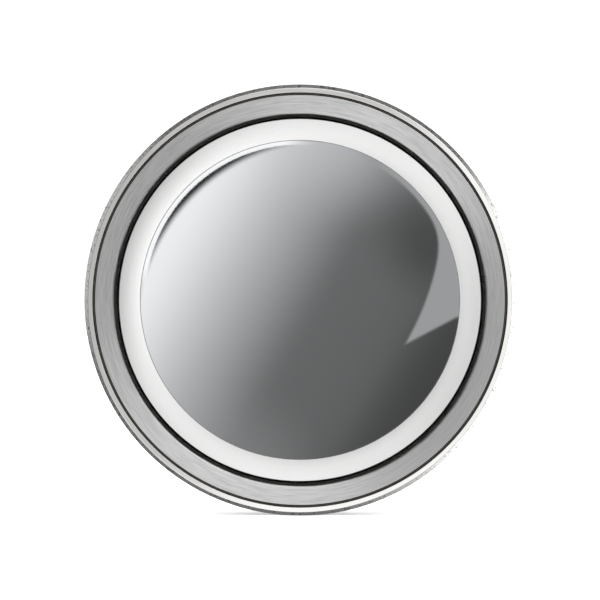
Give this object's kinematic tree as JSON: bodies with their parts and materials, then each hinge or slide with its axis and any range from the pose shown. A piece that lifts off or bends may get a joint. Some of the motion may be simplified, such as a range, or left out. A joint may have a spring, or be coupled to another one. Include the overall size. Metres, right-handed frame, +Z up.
{
  "type": "opening porthole",
  "caption": "Round opening porthole: a glazed sash on a top friction hinge, quarter-turn latches, and a frame clamped through the hull by an outer ring.",
  "frame": {"origin": "centre of the hull cut-out, on the hull's outer skin", "axes": "+Z up, +Y inboard along the porthole's axis, +X to the right as seen from outside"},
  "size_m": [0.25, 0.0516, 0.25],
  "materials": {
    "polished_steel": "mirror-polished 316 stainless steel, with a brushed band",
    "turned_steel": "fine-turned and polished 316 stainless steel",
    "satin_steel": "satin turned 316 stainless steel",
    "cast_steel": "cast and polished 316 stainless steel",
    "steel_screws": "A4 stainless steel",
    "black_rubber": "black EPDM, matt",
    "mirror_glass": "toughened glass with a one-way mirror coating",
    "clear_glass": "toughened float glass",
    "interlayer": "clear bonding film",
    "nylon": "natural nylon"
  },
  "bodies": {
    "frame": {"outer_ring": "polished_steel", "clamp_pillars": "steel_screws", "outer_bedding": "black_rubber", "inner_bedding": "black_rubber", "spigot": "satin_steel", "frame_ring": "satin_steel", "clamp_screws": "steel_screws", "hinge_bracket": "cast_steel", "hinge_bracket_screws": "steel_screws", "hinge_pin": "steel_screws", "hinge_nut": "steel_screws", "hinge_washers": "nylon", "keeper_right": "cast_steel", "keeper_screws_right": "steel_screws", "keeper_left": "cast_steel", "keeper_screws_left": "steel_screws"},
    "sash": {"sash_bezel": "turned_steel", "sash_tube": "satin_steel", "sash_ring": "satin_steel", "sash_seal": "black_rubber", "outer_glass": "mirror_glass", "glass_interlayer": "interlayer", "inner_glass": "clear_glass", "glazing_seal": "black_rubber", "glass_retainer": "satin_steel", "hinge_leaf": "cast_steel", "hinge_leaf_screws": "steel_screws", "latch_base_right": "cast_steel", "latch_base_screws_right": "steel_screws", "latch_base_left": "cast_steel", "latch_base_screws_left": "steel_screws"},
    "latch_right": {"latch_washer_right": "nylon", "latch_spindle_right": "steel_screws", "latch_tongue_right": "cast_steel", "latch_handle_right": "cast_steel", "latch_screw_right": "steel_screws"},
    "latch_left": {"latch_washer_left": "nylon", "latch_spindle_left": "steel_screws", "latch_tongue_left": "cast_steel", "latch_handle_left": "cast_steel", "latch_screw_left": "steel_screws"}
  },
  "joints": [
    {"name": "sash_hinge", "type": "hinge", "parent": "frame", "child": "sash", "pos_m": [0, 0.026, 0.12], "axis": [1, 0, 0], "range_deg": [0, 100]},
    {"name": "latch_right_turn", "type": "hinge", "parent": "sash", "child": "latch_right", "pos_m": [0.09353, 0.031, -0.054], "axis": [0, -1, 0], "range_deg": [0, 90]},
    {"name": "latch_left_turn", "type": "hinge", "parent": "sash", "child": "latch_left", "pos_m": [-0.09353, 0.031, -0.054], "axis": [0, 1, 0], "range_deg": [0, 90]}
  ]
}
